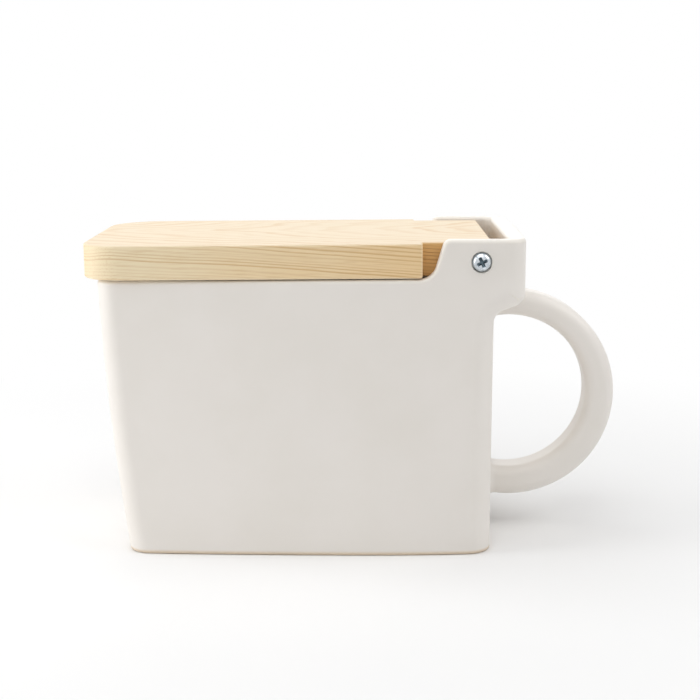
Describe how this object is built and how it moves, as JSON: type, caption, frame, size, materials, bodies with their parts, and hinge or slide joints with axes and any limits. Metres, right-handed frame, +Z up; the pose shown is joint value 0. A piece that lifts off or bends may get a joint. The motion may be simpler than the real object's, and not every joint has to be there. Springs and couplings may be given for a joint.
{
  "type": "salt box with hinged lid",
  "caption": "White glazed ceramic salt box with a round mug handle and a wooden lid hinged on two screws between raised ears.",
  "frame": {"origin": "middle of the base footprint, on the plane of the foot ring that the box stands on", "axes": "+Z up, the front wall at -X, the hinge and the handle at +X, +Y to the left as seen from the front"},
  "size_m": [0.1927, 0.0932, 0.1133],
  "materials": {
    "glaze": "glossy cream white glaze, unglazed foot ring",
    "lid_wood": "sanded bare softwood",
    "screw_steel": "bright zinc plated",
    "bush_nylon": "natural nylon"
  },
  "bodies": {
    "box": {"ceramic_body": "glaze", "hinge_bush_left": "bush_nylon", "hinge_bush_right": "bush_nylon"},
    "lid": {"lid": "lid_wood", "hinge_screw_left": "screw_steel", "hinge_screw_right": "screw_steel"}
  },
  "joints": [
    {"name": "lid_hinge", "type": "hinge", "parent": "box", "child": "lid", "pos_m": [0.0595, 0, 0.1056], "axis": [0, 1, 0], "range_deg": [0, 105]}
  ]
}
